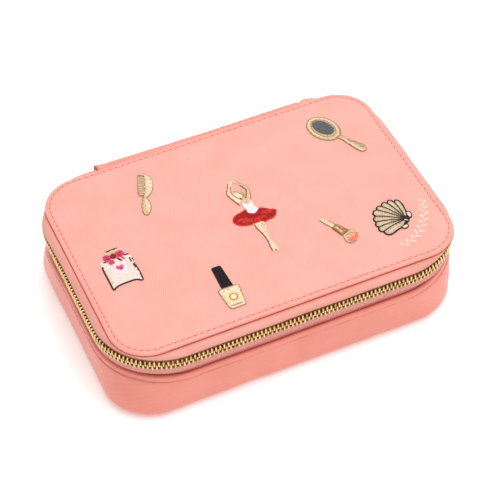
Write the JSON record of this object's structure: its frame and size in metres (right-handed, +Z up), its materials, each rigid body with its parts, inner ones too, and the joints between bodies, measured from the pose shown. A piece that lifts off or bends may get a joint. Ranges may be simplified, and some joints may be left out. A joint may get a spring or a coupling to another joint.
{
  "type": "travel jewellery case",
  "caption": "Zip-round leather travel jewellery case with an embroidered ballerina lid, mirror, ring rolls and divided tray.",
  "frame": {"origin": "on the flat underside of the base, straight below the centre of the lid panel; the underside itself is centred 4.2 mm to the left of it", "axes": "+X along the long side, +Y towards the hinge, +Z up through the lid; the front long side faces -Y"},
  "size_m": [0.2172, 0.1608, 0.0527],
  "materials": {
    "leather_top": "saffiano grain, satin",
    "leather_side": "saffiano grain, satin",
    "zip_tape": "woven tape",
    "zip_brass": "polished",
    "velvet": "short pile velvet",
    "mirror_glass": "polished",
    "board": "matte",
    "thread_white": "satin stitch",
    "thread_pink": "satin stitch",
    "thread_red": "satin stitch",
    "thread_black": "satin stitch",
    "thread_gold": "satin stitch",
    "foil": "pressed foil, satin"
  },
  "bodies": {
    "base": {"base_shell": "leather_side", "base_gusset": "leather_side", "zip_tape_lower": "zip_tape", "zip_teeth_lower": "zip_brass", "zip_teeth_corner_lower": "zip_brass", "zip_stop": "zip_brass", "base_lining": "velvet", "divider_left": "velvet", "divider_right": "velvet", "divider_cross": "velvet", "roll_bed": "velvet", "ring_rolls": "velvet", "hinge_spine": "leather_side"},
    "lid": {"lid_panel": "leather_top", "lid_gusset": "leather_side", "lid_board": "board", "lid_lining": "velvet", "lid_mirror": "mirror_glass", "mirror_frame": "velvet", "zip_tape_upper": "zip_tape", "zip_teeth_upper": "zip_brass", "zip_teeth_corner_upper": "zip_brass", "zip_teeth_slider_upper": "zip_brass", "patch_comb": "thread_gold", "patch_perfume": "thread_white", "patch_bow": "thread_pink", "patch_varnish_bottle": "thread_gold", "patch_varnish_cap": "thread_black", "patch_mirror": "thread_gold", "patch_brush": "thread_gold", "patch_shell": "thread_gold", "patch_dancer_tutu": "thread_red", "patch_dancer_body": "thread_gold", "foil_sprig": "foil"},
    "slider": {"zip_slider": "zip_brass"},
    "pull": {"zip_pull": "zip_brass"}
  },
  "joints": [
    {"name": "lid_hinge", "type": "hinge", "parent": "base", "child": "lid", "pos_m": [0, 0.081, 0.043], "axis": [-1, 0, 0], "range_deg": [0, 110], "deforming": ["hinge_spine", "zip_teeth_slider_upper"]},
    {"name": "slider_travel", "type": "hinge", "parent": "base", "child": "slider", "pos_m": [0.0656, 0.037, 0.043], "axis": [0, 0, -1], "range_deg": [0, 68], "deforming": ["zip_teeth_corner_lower", "zip_teeth_corner_upper"]},
    {"name": "pull_swing", "type": "hinge", "parent": "slider", "child": "pull", "pos_m": [0.07487, 0.08063, 0.043], "axis": [0.9781, -0.2079, 0], "range_deg": [0, 80]}
  ]
}
